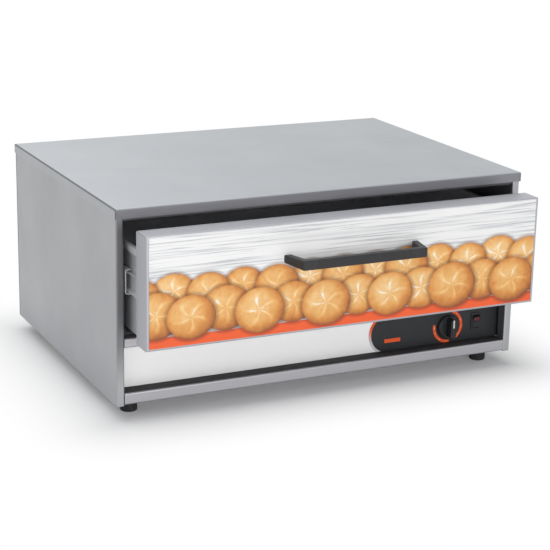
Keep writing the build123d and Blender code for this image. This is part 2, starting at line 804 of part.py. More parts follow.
# ---- Feet, each with its screw and nut -------------------------------------------------------
foot_edge = 1.0
foot_well = 5.0
foot_well_depth = 14.0
foot_head = 4.4
foot_head_height = 3.0
nut_size = 4.6
nut_height = 4.0
foot_top = floor_z - sheet
foot_names = ["front_left", "front_right", "rear_left", "rear_right"]

for (x, y), name in zip(foot_places, foot_names):
    with BuildPart() as foot:
        with BuildSketch():
            with Locations((x, y)):
                Circle(foot_radius)
        extrude(amount=foot_top)
        chamfer(foot.faces().sort_by(Axis.Z)[0].edges(), length=foot_edge)
        with BuildSketch():
            with Locations((x, y)):
                Circle(foot_well)
        extrude(amount=foot_well_depth, mode=Mode.SUBTRACT)
        with BuildSketch():
            with Locations((x, y)):
                Circle(foot_screw + screw_play)
        extrude(amount=foot_top, mode=Mode.SUBTRACT)
    foot.part.label = f"foot_{name}"
    export_step(foot.part, f"parts/foot_{name}.step")

with BuildPart() as foot_screws:
    with BuildSketch(Plane.XY.offset(foot_well_depth - foot_head_height)):
        with Locations(*foot_places):
            Circle(foot_head)
    extrude(amount=foot_head_height)
    with BuildSketch(Plane.XY.offset(foot_well_depth)):
        with Locations(*foot_places):
            Circle(foot_screw)
    extrude(amount=floor_z + nut_height + 2 - foot_well_depth)
foot_screws.part.label = "foot_screws"
export_step(foot_screws.part, "parts/foot_screws.step")

with BuildPart() as foot_nuts:
    with BuildSketch(Plane.XY.offset(floor_z)):
        with Locations(*foot_places):
            RegularPolygon(nut_size, 6)
            Circle(foot_screw + screw_play, mode=Mode.SUBTRACT)
    extrude(amount=nut_height)
foot_nuts.part.label = "foot_nuts"
export_step(foot_nuts.part, "parts/foot_nuts.step")

# ---- Screws of the rear panel and of the cover -----------------------------------------------
head_radius = 3.8
head_height = 2.2
head_edge = 0.9
screw_length = 7.0

with BuildPart() as rear_panel_screws:
    with BuildSketch(facing(rear_y)):
        with Locations(*[(side * rear_screw_x, level) for side in (-1, 1) for level in rear_screw_levels]):
            Circle(head_radius)
    extrude(amount=-head_height)
    chamfer(rear_panel_screws.faces().group_by(Axis.Y)[-1].edges(), length=head_edge)
    with BuildSketch(facing(rear_y)):
        with Locations(*[(side * rear_screw_x, level) for side in (-1, 1) for level in rear_screw_levels]):
            Circle(screw_radius)
    extrude(amount=screw_length)
rear_panel_screws.part.label = "rear_panel_screws"
export_step(rear_panel_screws.part, "parts/rear_panel_screws.step")

cover_back = face_y + cabinet_depth

with BuildPart() as cover_screws:
    with BuildSketch(facing(cover_back)):
        with Locations(*[(x, cover_screw_z) for x in cover_screw_x]):
            Circle(head_radius)
    extrude(amount=-head_height)
    chamfer(cover_screws.faces().group_by(Axis.Y)[-1].edges(), length=head_edge)
    with BuildSketch(facing(cover_back)):
        with Locations(*[(x, cover_screw_z) for x in cover_screw_x]):
            Circle(screw_radius)
    extrude(amount=screw_length)
cover_screws.part.label = "cover_screws"
export_step(cover_screws.part, "parts/cover_screws.step")

# ---- Telescopic slides -----------------------------------------------------------------------
# Three nested channels with two rows of balls between each pair. A section is drawn on a plane
# whose x runs inward from the bracket, and whose y runs up from the middle of the slide
race = ball_radius + ball_play + slide_sheet / 2   # radius of a race, on the sheet's middle
outer_row = (ball_offset, slide_half - slide_sheet / 2 - race)
row_drop = sqrt((2 * race) ** 2 - row_step ** 2)
inner_row = (ball_offset + row_step, outer_row[1] - row_drop)
row_turn = degrees(atan2(row_drop, row_step))      # from one row down to the next
race_start = 120.0
race_end = 45.0
small_fold = slide_sheet / 2 + 0.4
race_foot = (
    outer_row[0] + race * cos(radians(race_start)),
    outer_row[1] + race * sin(radians(race_start)),
)
lead_rise = (race_foot[0] - slide_sheet / 2) * tan(radians(race_start - 90))
middle_pull = drawer_pull / 2
outer_cage_y = slide_front + slide_length / 4 + cage_length / 2 + slide_length / 10 - drawer_pull / 4
inner_cage_y = outer_cage_y - drawer_pull / 2


# One ball, with few faces because it repeats
with BuildPart() as ball:
    Box(2 * ball_radius, 2 * ball_radius, 2 * ball_radius)
    chamfer(ball.edges(), length=(2 - sqrt(2)) * ball_radius)


def slide_plane(side, y):
    return Plane(origin=(side * bracket_face, y, slide_z), x_dir=(-side, 0, 0), z_dir=(0, side, 0))


for side, name in ((-1, "left"), (1, "right")):
    with BuildPart() as slide_bracket:
        with BuildSketch(slide_plane(side, slide_front + slide_length / 2)):
            with BuildLine():
                FilletPolyline(
                    (bracket_face - inner_half + sheet / 2, bracket_half + bracket_foot),
                    (bracket_face - inner_half + sheet / 2, bracket_half),
                    (-sheet / 2, bracket_half),
                    (-sheet / 2, -bracket_half),
                    (bracket_face - inner_half + sheet / 2, -bracket_half),
                    (bracket_face - inner_half + sheet / 2, -bracket_half - bracket_foot),
                    radius=fold,
                )
            trace(line_width=sheet)
        extrude(amount=bracket_length / 2, both=True)
    slide_bracket.part.label = f"slide_bracket_{name}"
    export_step(slide_bracket.part, f"parts/slide_bracket_{name}.step")

    with BuildPart() as cabinet_member:
        with BuildSketch(slide_plane(side, slide_front + slide_length / 2)):
            with BuildLine():
                FilletPolyline(
                    (slide_sheet / 2, 0),
                    (slide_sheet / 2, race_foot[1] - lead_rise),
                    race_foot,
                    radius=small_fold,
                )
                CenterArc(outer_row, race, race_end, race_start - race_end)
                mirror(about=Plane.XZ)
            trace(line_width=slide_sheet)
        extrude(amount=slide_length / 2, both=True)
    cabinet_member.part.label = f"slide_cabinet_member_{name}"
    export_step(cabinet_member.part, f"parts/slide_cabinet_member_{name}.step")

    with BuildPart() as middle_member:
        with BuildSketch(slide_plane(side, slide_front + slide_length / 2 - middle_pull)):
            with BuildLine():
                FilletPolyline(
                    (middle_web, 0),
                    (middle_web, outer_row[1] - race),
                    (outer_row[0], outer_row[1] - race),
                    radius=small_fold,
                )
                CenterArc(outer_row, race, 270, 90 - row_turn)
                CenterArc(inner_row, race, 20, 160 - row_turn)
                mirror(about=Plane.XZ)
            trace(line_width=slide_sheet)
        extrude(amount=slide_length / 2, both=True)
    middle_member.part.label = f"slide_middle_member_{name}"
    export_step(middle_member.part, f"parts/slide_middle_member_{name}.step")

    with BuildPart() as drawer_member:
        with BuildSketch(slide_plane(side, slide_front + slide_length / 2 - drawer_pull)):
            with BuildLine():
                FilletPolyline(
                    (slide_thickness - slide_sheet / 2, 0),
                    (slide_thickness - slide_sheet / 2, inner_row[1] - race),
                    (inner_row[0], inner_row[1] - race),
                    radius=small_fold,
                )
                CenterArc(inner_row, race, 210, 60)
                mirror(about=Plane.XZ)
            trace(line_width=slide_sheet)
        extrude(amount=slide_length / 2, both=True)
    drawer_member.part.label = f"slide_drawer_member_{name}"
    export_step(drawer_member.part, f"parts/slide_drawer_member_{name}.step")

    cage_webs = {
        "outer": (outer_row, (slide_sheet + middle_web - slide_sheet / 2) / 2, outer_cage_y),
        "inner": (inner_row, middle_web + slide_sheet / 2 + 0.9, inner_cage_y),
    }
    for row_name, (row, web, cage_y) in cage_webs.items():
        with BuildPart() as ball_cage:
            with BuildSketch(slide_plane(side, cage_y)):
                with BuildLine():
                    FilletPolyline(
                        (row[0] + ball_radius + 0.9, row[1]),
                        (web, row[1]),
                        (web, -row[1]),
                        (row[0] + ball_radius + 0.9, -row[1]),
                        radius=cage_sheet,
                    )
                trace(line_width=cage_sheet)
            extrude(amount=cage_length / 2, both=True)
            with BuildSketch(Plane.XY.offset(slide_z)):
                with Locations((side * (bracket_face - row[0]), cage_y)):
                    with GridLocations(0, cage_length / cage_balls, 1, cage_balls):
                        Rectangle(2 * (ball_radius + pocket_play), 2 * (ball_radius + pocket_play))
            extrude(amount=slide_half, both=True, mode=Mode.SUBTRACT)
            for level in (slide_z - row[1], slide_z + row[1]):
                with Locations((side * (bracket_face - row[0]), cage_y, level)):
                    with GridLocations(0, cage_length / cage_balls, 1, cage_balls):
                        add(ball.part)
        ball_cage.part.label = f"ball_cage_{row_name}_{name}"
        export_step(ball_cage.part, f"parts/ball_cage_{row_name}_{name}.step")

# ---- Drawer front: folded pan, liner and print plate -----------------------------------------
front_mid = (front_low + front_high) / 2
mitre_gap = 0.4
hole_places = [(-leg_x, handle_z), (leg_x, handle_z)]

with BuildPart() as drawer_front:
    with BuildSketch(facing(pan_back)):
        with Locations((0, front_mid)):
            Rectangle(2 * front_half, front_high - front_low)
    extrude(amount=pan_back - pan_y)
    fillet(drawer_front.faces().sort_by(Axis.Y)[0].edges(), radius=fold + sheet / 2)
    offset(amount=-sheet, openings=drawer_front.faces().sort_by(Axis.Y)[-1])
    # Open mitre seams where two edges of the pan meet
    for side in (-1, 1):
        for level, turn in ((front_low, -45), (front_high, 45)):
            with BuildSketch(facing(pan_back)):
                with Locations((side * front_half, level)):
                    Rectangle(6 * sheet, mitre_gap, rotation=side * turn)
            extrude(amount=pan_back - pan_y - fold - sheet, mode=Mode.SUBTRACT)
    with BuildSketch(facing(pan_y + 2 * sheet)):
        with Locations(*hole_places):
            Circle(handle_screw)
    extrude(amount=3 * sheet, mode=Mode.SUBTRACT)
drawer_front.part.label = "drawer_front"
export_step(drawer_front.part, "parts/drawer_front.step")

with BuildPart() as front_liner:
    with BuildSketch(facing(pan_back)):
        with Locations((0, front_mid)):
            Rectangle(2 * (front_half - sheet - seam), front_high - front_low - 2 * (sheet + seam))
    extrude(amount=liner_thickness)
front_liner.part.label = "front_liner"
export_step(front_liner.part, "parts/front_liner.step")

with BuildPart() as front_print_plate:
    with BuildSketch(facing(pan_y)):
        plate_low = front_low + print_margin_low
        plate_high = front_high - print_margin_high
        with Locations((0, (plate_low + plate_high) / 2)):
            Rectangle(2 * (front_half - print_margin_side), plate_high - plate_low)
        with Locations(*hole_places):
            Circle(handle_screw, mode=Mode.SUBTRACT)
    extrude(amount=print_thickness)
front_print_plate.part.label = "front_print_plate"
export_step(front_print_plate.part, "parts/front_print_plate.step")

# ---- Drawer box ------------------------------------------------------------------------------
box_back = pan_back + box_length

with BuildPart() as drawer_box:
    with BuildSketch(Plane.XY.offset(box_low)):
        with Locations((0, (pan_back + box_back) / 2)):
            Rectangle(2 * box_half, box_length)
    extrude(amount=box_high - box_low)
    fillet(drawer_box.edges().filter_by(Axis.Z), radius=box_corner)
    fillet(drawer_box.faces().sort_by(Axis.Z)[0].edges(), radius=box_corner / 2)
    offset(amount=-box_wall, openings=drawer_box.faces().sort_by(Axis.Z)[-1])
    # Rims turned out over the slides and at the rear
    for side in (-1, 1):
        with BuildSketch(facing(box_back - box_corner)):
            with BuildLine():
                FilletPolyline(
                    (side * (box_half - box_wall), box_high - box_wall / 2),
                    (side * (box_half + rim_width - box_wall / 2), box_high - box_wall / 2),
                    (side * (box_half + rim_width - box_wall / 2), box_high - rim_drop),
                    radius=fold,
                )
            trace(line_width=box_wall)
        extrude(amount=box_length - 2 * box_corner)
    with BuildSketch(Plane.YZ):
        with BuildLine():
            FilletPolyline(
                (box_back - box_wall, box_high - box_wall / 2),
                (box_back + rim_width - box_wall / 2, box_high - box_wall / 2),
                (box_back + rim_width - box_wall / 2, box_high - rim_drop),
                radius=fold,
            )
        trace(line_width=box_wall)
    extrude(amount=box_half - box_corner, both=True)
drawer_box.part.label = "drawer_box"
export_step(drawer_box.part, "parts/drawer_box.step")

# ---- Handle and its screws -------------------------------------------------------------------
handle_lean = (handle_base - handle_bar) / 2
inner_lean = handle_lean * (handle_reach - handle_grip) / handle_reach
base_half = handle_base / 2
bar_half = handle_bar / 2

with BuildPart() as handle:
    with BuildSketch(Plane.XY.offset(handle_z - handle_height / 2)):
        with BuildLine():
            Polyline(
                (-base_half, front_y),
                (-bar_half, handle_y),
                (bar_half, handle_y),
                (base_half, front_y),
                (base_half - handle_grip, front_y),
                (base_half - handle_grip - inner_lean, handle_y + handle_grip),
                (-base_half + handle_grip + inner_lean, handle_y + handle_grip),
                (-base_half + handle_grip, front_y),
                close=True,
            )
        make_face()
    extrude(amount=handle_height)
    fillet(handle.edges().filter_by(Axis.Z).group_by(Axis.Y)[0], radius=4)
    fillet(handle.edges().filter_by(Axis.Z).group_by(Axis.Y)[-2], radius=3)
    # The legs grow thinner towards the drawer front
    with BuildSketch(Plane.YZ):
        with BuildLine():
            Polyline(
                (front_y, handle_z - handle_root_height / 2),
                (front_y, handle_z + handle_root_height / 2),
                (handle_y, handle_z + handle_height / 2),
                (handle_y, handle_z - handle_height / 2),
                close=True,
            )
        make_face()
    extrude(amount=base_half, both=True, mode=Mode.INTERSECT)
    chamfer(handle.faces().sort_by(Axis.Y)[0].edges(), length=1.2)
    with BuildSketch(facing(front_y)):
        with Locations(*hole_places):
            Circle(handle_screw)
    extrude(amount=handle_screw_depth, mode=Mode.SUBTRACT)
handle.part.label = "handle"
export_step(handle.part, "parts/handle.step")

with BuildPart() as handle_screws:
    with BuildSketch(facing(pan_y + sheet + head_height)):
        with Locations(*hole_places):
            Circle(head_radius)
    extrude(amount=head_height)
    with BuildSketch(facing(pan_y + sheet)):
        with Locations(*hole_places):
            Circle(handle_screw - screw_play)
    extrude(amount=sheet + print_thickness + handle_screw_depth - 0.5)
handle_screws.part.label = "handle_screws"
export_step(handle_screws.part, "parts/handle_screws.step")
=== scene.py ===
import json
import math

import bpy
from mathutils import Matrix, Vector


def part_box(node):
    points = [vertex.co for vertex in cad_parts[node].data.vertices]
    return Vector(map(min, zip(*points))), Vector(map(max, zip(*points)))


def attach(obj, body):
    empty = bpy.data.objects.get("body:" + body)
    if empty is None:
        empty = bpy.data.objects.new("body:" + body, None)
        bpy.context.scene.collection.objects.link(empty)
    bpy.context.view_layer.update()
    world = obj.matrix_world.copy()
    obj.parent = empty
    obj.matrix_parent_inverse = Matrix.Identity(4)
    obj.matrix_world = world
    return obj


# Countertop warming drawer: finishes, floor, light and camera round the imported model.
# Metres, X to the right, Y to the rear, Z up, counter at Z 0.

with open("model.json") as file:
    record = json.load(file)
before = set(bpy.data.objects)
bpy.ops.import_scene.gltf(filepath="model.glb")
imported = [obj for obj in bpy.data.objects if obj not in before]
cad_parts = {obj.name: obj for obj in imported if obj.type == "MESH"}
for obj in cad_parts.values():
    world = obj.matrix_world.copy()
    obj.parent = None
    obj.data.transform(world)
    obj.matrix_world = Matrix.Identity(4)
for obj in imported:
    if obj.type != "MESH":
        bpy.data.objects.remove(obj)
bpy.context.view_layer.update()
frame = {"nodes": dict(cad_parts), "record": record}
nodes = frame["nodes"]
bpy.ops.object.select_all(action="DESELECT")
print("packed model loaded")

view = {
    "place": (-1.0756, -2.22815, 0.8569),
    "azimuth": -25.76,  # degrees, to the left of straight in front
    "elevation": 16.29,
    "roll": 1.15,
    "lens": 107.4,
    "sensor": 36.0,
    "farthest": 80,
}
lens = bpy.data.cameras.new("photoCamera")
lens.lens = view["lens"]
lens.sensor_width = view["sensor"]
lens.sensor_fit = "HORIZONTAL"
lens.clip_end = view["farthest"]
photoCamera = bpy.data.objects.new("photoCamera", lens)
bpy.context.collection.objects.link(photoCamera)
azimuth, elevation, roll = (math.radians(view[k]) for k in ("azimuth", "elevation", "roll"))
back = Vector((
    math.sin(azimuth) * math.cos(elevation),
    -math.cos(azimuth) * math.cos(elevation),
    math.sin(elevation),
))
right = (-back).cross(Vector((0, 0, 1))).normalized()
up = right.cross(-back)
aim = Matrix((
    right * math.cos(roll) + up * math.sin(roll),
    up * math.cos(roll) - right * math.sin(roll),
    back,
)).transposed()
photoCamera.matrix_world = Matrix.Translation(view["place"]) @ aim.to_4x4()
bpy.context.scene.camera = photoCamera
bpy.context.scene.view_settings.view_transform = "Standard"
print("camera set")


# Small helpers for node trees: each takes sockets or plain numbers
def shade(red, green, blue):
    # a screen colour, 0 to 255, as the linear colour that a shader takes
    return tuple(
        c / 12.92 if c <= 0.04045 else ((c + 0.055) / 1.055) ** 2.4
        for c in (red / 255, green / 255, blue / 255)
    ) + (1.0,)


def toned(colour, share):
    return tuple(min(1.0, c * share) for c in colour[:3]) + (1.0,)


def feed(tree, value, socket):
    if isinstance(value, bpy.types.NodeSocket):
        tree.links.new(value, socket)
    else:
        socket.default_value = value


def startMaterial(name):
    material = bpy.data.materials.new(name)
    material.use_nodes = True
    tree = material.node_tree
    place = tree.nodes.new("ShaderNodeTexCoord").outputs["Object"]
    return material, tree, tree.nodes["Principled BSDF"], place


def stretched(tree, place, scale):
    mapping = tree.nodes.new("ShaderNodeMapping")
    mapping.inputs["Scale"].default_value = scale
    tree.links.new(place, mapping.inputs["Vector"])
    return mapping.outputs["Vector"]


def cloud(tree, vector, scale, detail=3.0, roughness=0.5, warp=0.0):
    node = tree.nodes.new("ShaderNodeTexNoise")
    node.inputs["Distortion"].default_value = warp
    node.inputs["Scale"].default_value = scale
    node.inputs["Detail"].default_value = detail
    node.inputs["Roughness"].default_value = roughness
    tree.links.new(vector, node.inputs["Vector"])
    return node.outputs["Fac"]


def remap(tree, value, low, high, newLow, newHigh, smooth=False):
    node = tree.nodes.new("ShaderNodeMapRange")
    node.interpolation_type = "SMOOTHSTEP" if smooth else "LINEAR"
    feed(tree, value, node.inputs["Value"])
    ends = (("From Min", low), ("From Max", high), ("To Min", newLow), ("To Max", newHigh))
    for socket, number in ends:
        feed(tree, number, node.inputs[socket])
    return node.outputs["Result"]


def spread(tree, noise, newLow, newHigh, reach=0.2):
    # a noise mostly lies near its middle, 0.5, so only that part is used
    return remap(tree, noise, 0.5 - reach, 0.5 + reach, newLow, newHigh)


def calc(tree, operation, first, second=0.0, third=0.0):
    node = tree.nodes.new("ShaderNodeMath")
    node.operation = operation
    for value, socket in zip((first, second, third), node.inputs):
        feed(tree, value, socket)
    return node.outputs["Value"]


def squareSum(tree, first, second):
    return calc(tree, "MULTIPLY_ADD", first, first, calc(tree, "MULTIPLY", second, second))


def within(tree, value, low, high):
    return calc(tree, "COMPARE", value, (low + high) / 2, (high - low) / 2)


def tint(tree, factor, first, second, blend="MIX"):
    node = tree.nodes.new("ShaderNodeMix")
    node.data_type = "RGBA"
    node.blend_type = blend
    feed(tree, factor, node.inputs[0])
    feed(tree, first, node.inputs[6])
    feed(tree, second, node.inputs[7])
    return node.outputs[2]


def relief(tree, shader, height, strength, distance):
    node = tree.nodes.new("ShaderNodeBump")
    node.inputs["Strength"].default_value = strength
    node.inputs["Distance"].default_value = distance
    tree.links.new(height, node.inputs["Height"])
    tree.links.new(node.outputs["Normal"], shader.inputs["Normal"])


def axes(tree, place):
    node = tree.nodes.new("ShaderNodeSeparateXYZ")
    tree.links.new(place, node.inputs["Vector"])
    return node.outputs


def inBox(tree, place, lowest, highest, fade, edge=0.0004):
    # 1 inside the box and 0 outside, with soft edges, longer ones above and below
    inside = 1.0
    for coordinate, low, high, blur in zip(axes(tree, place), lowest, highest, (edge, edge, fade)):
        inside = calc(tree, "MULTIPLY", inside, remap(tree, coordinate, low - blur, low + blur, 0, 1))
        inside = calc(tree, "MULTIPLY", inside, remap(tree, coordinate, high - blur, high + blur, 1, 0))
    return inside


# Sheet steel: rolled grain along one axis, wipe marks, a little cloudiness and painted strips of darker
# reflection and shade
def steel(name, look):
    material, tree, shader, place = startMaterial(name)
    run = [1, 1, 1]
    run["XYZ".index(look["along"])] = look["stretch"]
    lines = cloud(tree, stretched(tree, place, [look["grain"] * r for r in run]), 1.0, 4.0, 0.6)
    bands = cloud(tree, stretched(tree, place, [look["bands"] * r for r in run]), 1.0, 3.0, 0.5)
    wipe = cloud(tree, place, look["wipeScale"], 4.0, 0.55)
    coarse = calc(tree, "MULTIPLY", bands, 1 - look["fineShare"])
    grain = calc(tree, "MULTIPLY_ADD", lines, look["fineShare"], coarse)
    dark = toned(look["colour"], 1 - look["contrast"])
    pale = toned(look["colour"], 1 + look["contrast"])
    tone = tint(tree, spread(tree, grain, 0.0, 1.0), dark, pale)
    cloudy = spread(tree, wipe, 0.0, look["wipe"], 0.15)
    tone = tint(tree, cloudy, tone, toned(look["colour"], look["wipeDark"]))
    for strip in look["paintedStrips"]:
        # a painted strip of darker reflection and shade on the sheet, its colour running from left to right
        along = remap(tree, axes(tree, place)["X"], strip["low"][0], strip["high"][0], 0, 1)
        paintedTone = tint(tree, along, strip["left"], strip["right"])
        inside = inBox(tree, place, strip["low"], strip["high"], strip["fade"])
        broken = remap(tree, grain, 0.2, 0.8, 1.0, 0.8)
        tone = tint(tree, calc(tree, "MULTIPLY", inside, broken), tone, paintedTone)
    feed(tree, tone, shader.inputs["Base Color"])
    shader.inputs["Metallic"].default_value = look["metal"]
    rough = spread(tree, grain, look["rough"] - look["roughPlay"], look["rough"] + look["roughPlay"])
    smeared = spread(tree, wipe, 0.0, look["wipeRough"], 0.15)
    feed(tree, calc(tree, "ADD", rough, smeared), shader.inputs["Roughness"])
    relief(tree, shader, grain, look["relief"], look["reliefDepth"])
    return material


steelLook = {
    "grain": 1400.0,  # fine lines per metre, across the grain
    "bands": 200.0,  # coarser lines per metre
    "fineShare": 0.6,
    "stretch": 0.02,  # lines per metre along the grain, as a share of those across it
    "along": "X",
    "contrast": 0.035,
    "wipe": 0.35,
    "wipeScale": 7.0,
    "wipeDark": 0.86,
    "wipeRough": 0.06,
    "metal": 0.9,
    "rough": 0.36,
    "roughPlay": 0.05,
    "relief": 0.12,
    "reliefDepth": 0.0003,
    "paintedStrips": [],
}
coverLow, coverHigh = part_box("top_cover")
leftLow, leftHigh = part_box("left_side_panel")
stripEdges = {
    "skin": 0.0006,  # depth into the sheet
    "over": 0.001,  # reach past the sheet's surface
    "under": 0.01,  # reach past the cover's lower edge
    "above": 0.1,  # reach past the stile's upper end
    "fold": 0.0012,  # under the cover's top, where its fold begins
    "line": 0.0022,  # lower edge of the dark line, under the cover's top
    "lineWidth": 0.0018,
    "stileFoot": 0.082,  # middle of the fade at the strip's lower end
    "sharp": 0.0004,
    "soft": 0.03,
}
lipReflectionTones = {"left": shade(108, 107, 111), "right": shade(130, 130, 135), "fade": stripEdges["sharp"]}
hemReflectionTones = {"left": shade(166, 168, 171), "right": shade(166, 168, 171), "fade": stripEdges["sharp"]}
foldShadeTones = {"left": shade(92, 93, 96), "right": shade(92, 93, 96), "fade": stripEdges["sharp"]}
stileReflectionTones = {"left": shade(112, 112, 115), "right": shade(112, 112, 115), "fade": stripEdges["soft"]}
coverFront, coverSide = coverLow.y - stripEdges["over"], coverLow.x - stripEdges["over"]
coverPaintedStrips = [
    {  # front lip, darker by painted reflection
        "low": (coverLow.x, coverFront, coverLow.z - stripEdges["under"]),
        "high": (coverHigh.x, coverLow.y + stripEdges["skin"], coverHigh.z - stripEdges["fold"]),
        **lipReflectionTones,
    },
    {  # left hem over the side panel, in the panel's tone as painted reflection
        "low": (coverSide, coverLow.y + stripEdges["skin"], coverLow.z - stripEdges["under"]),
        "high": (coverLow.x + stripEdges["skin"], coverHigh.y, coverHigh.z - stripEdges["fold"]),
        **hemReflectionTones,
    },
    {  # dark line along the hem's fold, painted shade
        "low": (coverSide, coverFront, coverHigh.z - stripEdges["line"]),
        "high": (coverLow.x + stripEdges["lineWidth"], coverHigh.y, coverHigh.z + stripEdges["over"]),
        **foldShadeTones,
    },
]
shellPaintedStrips = [
    {  # front edge of the left side panel, beside the opening, darker by painted reflection
        "low": (leftLow.x - stripEdges["over"], leftLow.y - stripEdges["over"], stripEdges["stileFoot"]),
        "high": (leftHigh.x, leftLow.y + stripEdges["skin"], leftHigh.z + stripEdges["above"]),
        **stileReflectionTones,
    },
]
coverLook = {**steelLook, "colour": shade(168, 172, 176), "paintedStrips": coverPaintedStrips}
shellLook = {**steelLook, "colour": shade(166, 167, 170), "along": "Z", "paintedStrips": shellPaintedStrips}
railLook = {**steelLook, "colour": shade(172, 171, 175)}
frontLook = {**steelLook, "colour": shade(172, 173, 179)}
# paler, less metallic copies of the sheet steel: painted light lifting the shaded interior and drawer box
innerLitLook = {**steelLook, "colour": shade(214, 214, 216), "rough": 0.5, "metal": 0.2}
boxLitLook = {**steelLook, "colour": shade(212, 212, 215), "rough": 0.42, "metal": 0.3}
# the header rail's steel is written dark, a painted shade for the dim gap under the lip
headerShadeLook = {**steelLook, "colour": shade(84, 84, 87), "rough": 0.5}
finishes = {
    "cover_steel": steel("coverSteel", coverLook),
    "shell_steel": steel("shellSteel", shellLook),
    "rail_steel": steel("railSteel", railLook),
    "front_steel": steel("frontSteel", frontLook),
    "inner_steel": steel("innerSteel", innerLitLook),
    "box_steel": steel("boxSteel", boxLitLook),
}
headerShadeFinish = steel("headerShadedSteel", headerShadeLook)
print("sheet steel finishes made")


# Zinc plate on slides, screws and the thermostat: soft spangle, greasy film in the hollows
def zinc(name, look):
    material, tree, shader, place = startMaterial(name)
    flakes = tree.nodes.new("ShaderNodeTexVoronoi")
    flakes.inputs["Scale"].default_value = look["flakes"]
    tree.links.new(place, flakes.inputs["Vector"])
    flake = axes(tree, flakes.outputs["Color"])["X"]
    haze = cloud(tree, place, look["hazeScale"], 4.0, 0.6)
    spangle = remap(tree, flake, 0.0, 1.0, 0.0, look["spangle"])
    tone = tint(tree, spangle, look["colour"], toned(look["colour"], look["flakeDark"]))
    greasy = remap(tree, haze, 0.45, 0.75, 0.0, look["film"])
    feed(tree, tint(tree, greasy, tone, look["grease"]), shader.inputs["Base Color"])
    shader.inputs["Metallic"].default_value = look["metal"]
    rough = spread(tree, haze, look["rough"] - look["shinier"], look["rough"] + look["duller"])
    feed(tree, rough, shader.inputs["Roughness"])
    relief(tree, shader, haze, look["relief"], look["reliefDepth"])
    return material


zincLook = {
    "flakes": 900.0,
    "spangle": 0.35,
    "flakeDark": 0.78,
    "hazeScale": 60.0,
    "film": 0.25,
    "grease": shade(126, 118, 96),
    "rough": 0.34,
    "shinier": 0.07,
    "duller": 0.1,
    "metal": 0.9,
    "relief": 0.15,
    "reliefDepth": 0.0002,
}
# slides paler and less metallic than the other zinc: painted light, so they read bright in the dark gap
slideLitLook = {**zincLook, "colour": shade(226, 227, 229), "metal": 0.35}
screwZincLook = {**zincLook, "colour": shade(190, 190, 192), "film": 0.1, "rough": 0.26}
housingLook = {**zincLook, "colour": shade(160, 160, 158), "flakes": 400.0}
finishes["slide_steel"] = zinc("slideZinc", slideLitLook)
finishes["screw_steel"] = zinc("screwZinc", screwZincLook)
finishes["thermostat_housing"] = zinc("housingZinc", housingLook)
print("zinc finishes made")


# Moulded plastics and rubber: fine spark texture, scuffs a little paler
def moulded(name, look):
    material, tree, shader, place = startMaterial(name)
    spark = cloud(tree, place, look["spark"], 3.0, 0.6)
    scuff = cloud(tree, stretched(tree, place, look["scuffRun"]), look["scuffScale"], 5.0, 0.65)
    worn = remap(tree, scuff, 0.52, 0.8, 0.0, look["scuff"])
    feed(tree, tint(tree, worn, look["colour"], look["worn"]), shader.inputs["Base Color"])
    rough = spread(tree, spark, look["rough"] - look["roughPlay"], look["rough"] + look["roughPlay"])
    rubbed = remap(tree, scuff, 0.5, 0.8, 0.0, look["scuffRough"])
    feed(tree, calc(tree, "ADD", rough, rubbed), shader.inputs["Roughness"])
    shader.inputs["Specular IOR Level"].default_value = look["gloss"]
    relief(tree, shader, spark, look["relief"], look["reliefDepth"])
    return material


plasticLook = {
    "colour": shade(46, 48, 51),
    "worn": shade(92, 94, 97),
    "spark": 1800.0,
    "scuff": 0.35,
    "scuffScale": 45.0,
    "scuffRun": (1, 1, 0.35),
    "scuffRough": 0.12,
    "rough": 0.45,
    "roughPlay": 0.06,
    "relief": 0.25,
    "reliefDepth": 0.0004,
    "gloss": 0.3,
}
handleLook = {**plasticLook, "colour": shade(46, 46, 48), "worn": shade(78, 78, 80)}
knobLook = {**plasticLook, "colour": shade(36, 38, 41), "rough": 0.33}
switchLook = {**plasticLook, "colour": shade(32, 33, 36), "rough": 0.3}
bushingLook = {**plasticLook, "colour": shade(40, 40, 42)}
rubberLook = {**plasticLook, "colour": shade(34, 34, 36), "rough": 0.72, "scuff": 0.6}
pointerLook = {**plasticLook, "colour": shade(226, 224, 216), "worn": shade(190, 188, 180)}
ceramicLook = {**plasticLook, "colour": shade(218, 214, 204), "worn": shade(176, 168, 152), "rough": 0.4}
finishes["handle_black"] = moulded("handlePlastic", handleLook)
finishes["knob_black"] = moulded("knobPlastic", knobLook)
finishes["switch_black"] = moulded("switchPlastic", switchLook)
finishes["bushing_black"] = moulded("bushingPlastic", bushingLook)
finishes["foot_rubber"] = moulded("footRubber", rubberLook)
finishes["pointer_white"] = moulded("pointerPlastic", pointerLook)
finishes["block_white"] = moulded("blockCeramic", ceramicLook)
print("plastic finishes made")


# Heater tube: oxide bloom in blue and brown along its length
def heatedTube(name, look):
    material, tree, shader, place = startMaterial(name)
    bloom = cloud(tree, place, look["bloom"], 4.0, 0.6)
    scale = cloud(tree, place, look["scale"], 3.0, 0.6)
    hot = tint(tree, spread(tree, bloom, 0.0, 1.0, 0.15), look["brown"], look["blue"])
    sooty = remap(tree, scale, 0.45, 0.7, 0.0, 0.4)
    feed(tree, tint(tree, sooty, hot, look["soot"]), shader.inputs["Base Color"])
    shader.inputs["Metallic"].default_value = look["metal"]
    feed(tree, spread(tree, scale, 0.4, 0.6), shader.inputs["Roughness"])
    relief(tree, shader, scale, look["relief"], look["reliefDepth"])
    return material


tubeLook = {"scale": 420.0, "metal": 0.75, "relief": 0.3, "reliefDepth": 0.0003}
sheathLook = {
    **tubeLook,
    "bloom": 9.0,
    "brown": shade(92, 76, 62),
    "blue": shade(70, 74, 88),
    "soot": shade(48, 44, 42),
}
copperLook = {
    **tubeLook,
    "bloom": 25.0,
    "brown": shade(176, 108, 74),
    "blue": shade(196, 132, 96),
    "soot": shade(120, 78, 60),
}
finishes["element_sheath"] = heatedTube("heaterSheath", sheathLook)
finishes["copper_tube"] = heatedTube("copperTube", copperLook)
print("heater finishes made")
